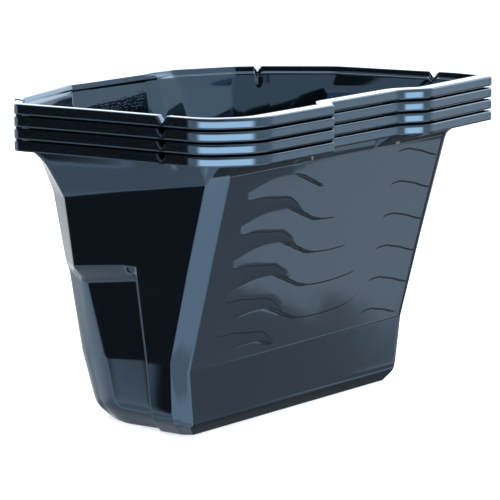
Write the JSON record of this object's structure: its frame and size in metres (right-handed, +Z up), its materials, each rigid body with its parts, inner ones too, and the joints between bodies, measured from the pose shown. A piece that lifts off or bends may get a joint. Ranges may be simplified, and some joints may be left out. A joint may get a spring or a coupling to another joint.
{
  "type": "bucket liner stack",
  "caption": "Nested stack of thin smoky plastic bucket liners with stepped rims and tapered cups; each liner lifts out of the one below.",
  "frame": {"origin": "on the floor under the centre of the rim's bounding rectangle", "axes": "+X along the long side, +Y across to the far long side with the cut corner, +Z up out of the opening"},
  "size_m": [0.377, 0.2546, 0.26],
  "materials": {
    "bottom_liner": "glossy smoky black sheet",
    "second_liner": "glossy smoky black sheet",
    "third_liner": "glossy smoky black sheet",
    "top_liner": "glossy smoky black sheet"
  },
  "bodies": {
    "bottom": {"bottom_liner": "bottom_liner"},
    "second": {"second_liner": "second_liner"},
    "third": {"third_liner": "third_liner"},
    "top": {"top_liner": "top_liner"}
  },
  "joints": [
    {"name": "second_liner_lift", "type": "slide", "parent": "bottom", "child": "second", "axis": [0, 0, 1], "range_m": [0, 0.235]},
    {"name": "third_liner_lift", "type": "slide", "parent": "second", "child": "third", "axis": [0, 0, 1], "range_m": [0, 0.235]},
    {"name": "top_liner_lift", "type": "slide", "parent": "third", "child": "top", "axis": [0, 0, 1], "range_m": [0, 0.235]}
  ]
}
